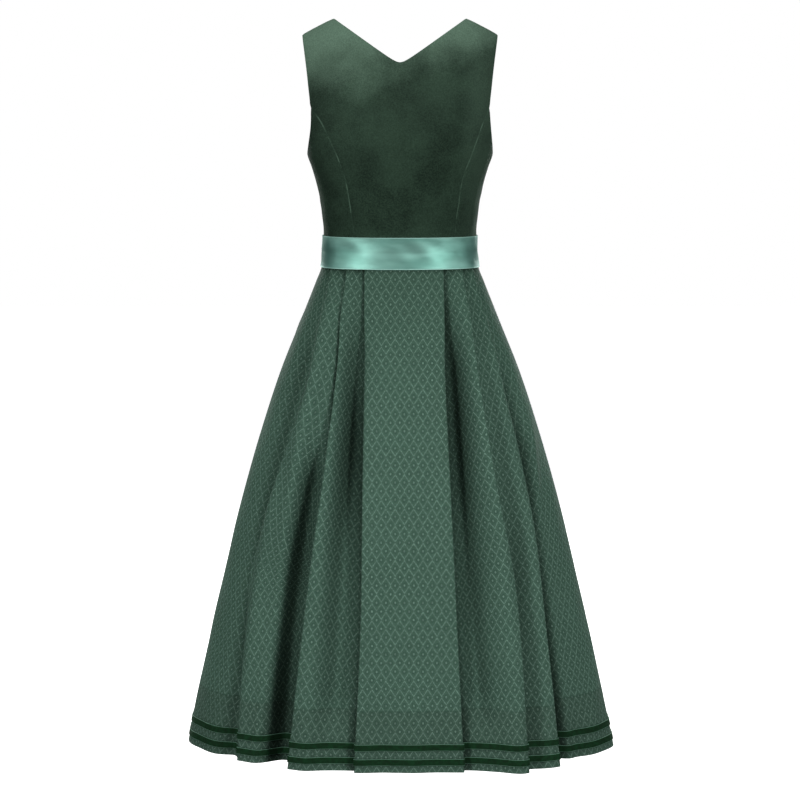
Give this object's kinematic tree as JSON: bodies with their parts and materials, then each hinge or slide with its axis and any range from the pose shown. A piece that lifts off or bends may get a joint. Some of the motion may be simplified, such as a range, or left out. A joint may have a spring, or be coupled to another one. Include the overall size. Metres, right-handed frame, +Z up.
{
  "type": "dirndl dress",
  "caption": "Sleeveless velvet bodice with V neck and curved seams, satin waist ribbon, and a knife-pleated jacquard midi skirt with two velvet ribbons above the hem.",
  "frame": {"origin": "between the wearer's shoulders, level with the neck ends of the shoulder seams", "axes": "+Z up along the wearer, -Y the way the wearer faces, so the back of the dress is on +Y; +X to the wearer's left"},
  "size_m": [0.6902, 0.4693, 1.1644],
  "materials": {
    "velvet": "dark green cotton velvet with a mottled nap",
    "satin": "sea-green satin ribbon with a woven edge",
    "jacquard": "grey-green jacquard with a small diamond lattice",
    "velvet_ribbon": "dark green velvet ribbon"
  },
  "bodies": {
    "root": {"bodice_back": "velvet", "bodice_back_side_left": "velvet", "bodice_back_side_right": "velvet", "bodice_front_left": "velvet", "bodice_front_right": "velvet", "bodice_front_side_left": "velvet", "bodice_front_side_right": "velvet", "waist_ribbon": "satin", "skirt_back": "jacquard", "skirt_front": "jacquard", "hem_ribbon_upper": "velvet_ribbon", "hem_ribbon_lower": "velvet_ribbon"}
  },
  "joints": []
}
